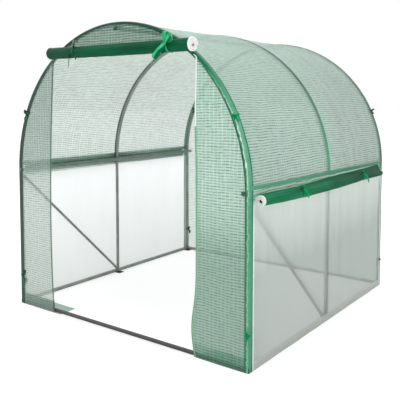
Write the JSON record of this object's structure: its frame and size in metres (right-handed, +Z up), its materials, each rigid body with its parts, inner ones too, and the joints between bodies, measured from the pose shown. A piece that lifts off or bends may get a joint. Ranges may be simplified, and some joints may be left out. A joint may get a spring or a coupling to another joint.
{
  "type": "walk-in polytunnel greenhouse",
  "caption": "Small walk-in tunnel greenhouse: steel hoops and rails under a woven green mesh cover, netted side walls, covers rolled up at the sides and over the doorway.",
  "frame": {"origin": "on the ground, in the middle of the overall width and of the overall depth with the rolled door", "axes": "+X to the right as seen from the door end, +Y from the door end to the rear end, +Z up"},
  "size_m": [2.1314, 2.122, 2.0011],
  "materials": {
    "mesh_cover": "woven polyethylene mesh laminated in clear film, pale green",
    "rolled_cover": "the same mesh rolled up in several layers, deep green",
    "side_film": "fine white netting, translucent",
    "ground_skirt": "woven mesh lying on the ground",
    "edge_tape": "sewn polypropylene tape, green",
    "zip_tape": "white zip tape wound into the roll's ends",
    "ribbon": "glossy green polyester ribbon",
    "moulded_fitting": "moulded nylon, dark grey",
    "steel_tube": "powder-coated steel tube, grey"
  },
  "bodies": {
    "root": {"base_rail_left": "steel_tube", "base_rail_right": "steel_tube", "brace_left": "steel_tube", "brace_right": "steel_tube", "corner_feet": "moulded_fitting", "door_roll": "rolled_cover", "front_arch_left": "steel_tube", "front_arch_right": "steel_tube", "front_base_rail": "steel_tube", "front_binding": "edge_tape", "front_panel_left": "mesh_cover", "front_panel_right": "mesh_cover", "front_panel_top": "mesh_cover", "front_post_left": "steel_tube", "front_post_right": "steel_tube", "front_skirt_left": "ground_skirt", "front_skirt_right": "ground_skirt", "hoop_ties": "ribbon", "middle_arch_left": "steel_tube", "middle_arch_right": "steel_tube", "middle_post_left": "steel_tube", "middle_post_right": "steel_tube", "rail_knobs": "moulded_fitting", "rear_arch_left": "steel_tube", "rear_arch_right": "steel_tube", "rear_base_rail": "steel_tube", "rear_binding": "edge_tape", "rear_door_panel": "mesh_cover", "rear_panel_left": "mesh_cover", "rear_panel_right": "mesh_cover", "rear_panel_top": "mesh_cover", "rear_post_left": "steel_tube", "rear_post_right": "steel_tube", "ridge_rail": "steel_tube", "roll_edging": "zip_tape", "roll_ties": "ribbon", "roof_cover": "mesh_cover", "shoulder_rail_left": "steel_tube", "shoulder_rail_right": "steel_tube", "side_feet": "moulded_fitting", "side_film_left": "side_film", "side_film_right": "side_film", "side_roll_left": "rolled_cover", "side_roll_right": "rolled_cover"}
  },
  "joints": []
}
